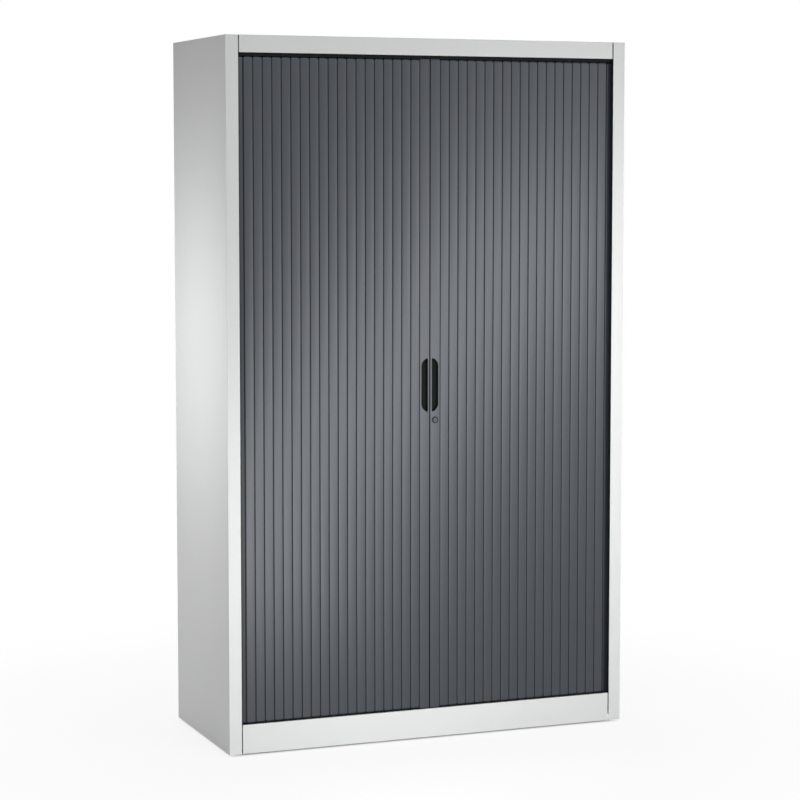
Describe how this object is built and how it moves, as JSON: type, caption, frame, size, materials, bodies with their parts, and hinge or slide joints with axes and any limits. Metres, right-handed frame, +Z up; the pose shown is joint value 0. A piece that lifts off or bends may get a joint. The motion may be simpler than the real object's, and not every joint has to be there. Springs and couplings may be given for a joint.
{
  "type": "roller shutter tool cabinet",
  "caption": "Tall steel cabinet whose front is closed by two slatted roller curtains that slide apart into the side walls, with shelves inside, a cam lock and levelling feet.",
  "frame": {"origin": "on the floor under the middle of the cabinet, between the levelling feet", "axes": "+Z up, +X to the right of someone facing the curtains, the front faces -Y"},
  "size_m": [1.2, 0.5, 1.98],
  "materials": {
    "carcass_paint": "light grey powder coat with a fine texture",
    "inner_paint": "light grey powder coat",
    "rivet_paint": "light grey painted rivets",
    "slat_plastic": "anthracite extruded plastic with a satin face",
    "track_plastic": "black extruded plastic",
    "grip_plastic": "black moulded plastic",
    "stop_rubber": "soft black strip",
    "lock_chrome": "nickel-plated zinc",
    "lock_core_metal": "turned steel",
    "zinc_steel": "zinc-plated steel",
    "foot_plastic": "black moulded plastic"
  },
  "bodies": {
    "carcass": {"left_side_panel": "carcass_paint", "right_side_panel": "carcass_paint", "back_panel": "carcass_paint", "top_rail": "carcass_paint", "plinth": "carcass_paint", "top_panel": "carcass_paint", "back_panel_rivets": "rivet_paint", "floor_panel": "inner_paint", "ceiling_panel": "inner_paint", "left_inner_panel": "inner_paint", "right_inner_panel": "inner_paint", "inner_back_panel": "inner_paint", "shelf_1": "inner_paint", "shelf_2": "inner_paint", "shelf_3": "inner_paint", "shelf_4": "inner_paint", "front_fixing_nuts": "zinc_steel", "inner_panel_screws": "zinc_steel", "shelf_clips": "zinc_steel", "top_front_track": "track_plastic", "top_corner_tracks": "track_plastic", "top_side_tracks": "track_plastic", "top_rear_tracks": "track_plastic", "bottom_front_track": "track_plastic", "bottom_corner_tracks": "track_plastic", "bottom_side_tracks": "track_plastic", "bottom_rear_tracks": "track_plastic", "track_screws": "zinc_steel", "track_end_stops": "stop_rubber", "foot_nuts": "zinc_steel", "foot_brackets": "zinc_steel", "left_tail_slats": "slat_plastic", "right_tail_slats": "slat_plastic"},
    "left_curtain": {"left_lead_slat": "slat_plastic", "left_front_slats": "slat_plastic", "left_lead_glides": "track_plastic", "left_closing_seal": "stop_rubber", "left_grip_cup": "grip_plastic", "lock_keeper": "zinc_steel", "keeper_screws": "zinc_steel"},
    "right_curtain": {"right_lead_slat": "slat_plastic", "right_front_slats": "slat_plastic", "right_lead_glides": "track_plastic", "right_closing_seal": "stop_rubber", "right_grip_cup": "grip_plastic", "lock_housing": "lock_chrome", "lock_nut": "zinc_steel"},
    "lock_core": {"lock_plug": "lock_core_metal", "lock_hook": "zinc_steel", "hook_screw": "zinc_steel"},
    "left_front_levelling_foot": {"left_front_foot": "foot_plastic"},
    "left_rear_levelling_foot": {"left_rear_foot": "foot_plastic"},
    "right_front_levelling_foot": {"right_front_foot": "foot_plastic"},
    "right_rear_levelling_foot": {"right_rear_foot": "foot_plastic"}
  },
  "joints": [
    {"name": "left_curtain_slide", "type": "slide", "parent": "carcass", "child": "left_curtain", "axis": [-1, 0, 0], "range_m": [0, 0.514], "deforming": ["left_front_slats"]},
    {"name": "right_curtain_slide", "type": "slide", "parent": "carcass", "child": "right_curtain", "axis": [1, 0, 0], "range_m": [0, 0.514], "deforming": ["right_front_slats"]},
    {"name": "lock_turn", "type": "hinge", "parent": "right_curtain", "child": "lock_core", "pos_m": [0.0159, -0.236, 0.9127], "axis": [0, -1, 0], "range_deg": [0, 90]},
    {"name": "left_front_foot_screw", "type": "slide", "parent": "carcass", "child": "left_front_levelling_foot", "axis": [0, 0, -1], "range_m": [0, 0.02]},
    {"name": "left_rear_foot_screw", "type": "slide", "parent": "carcass", "child": "left_rear_levelling_foot", "axis": [0, 0, -1], "range_m": [0, 0.02]},
    {"name": "right_front_foot_screw", "type": "slide", "parent": "carcass", "child": "right_front_levelling_foot", "axis": [0, 0, -1], "range_m": [0, 0.02]},
    {"name": "right_rear_foot_screw", "type": "slide", "parent": "carcass", "child": "right_rear_levelling_foot", "axis": [0, 0, -1], "range_m": [0, 0.02]}
  ]
}
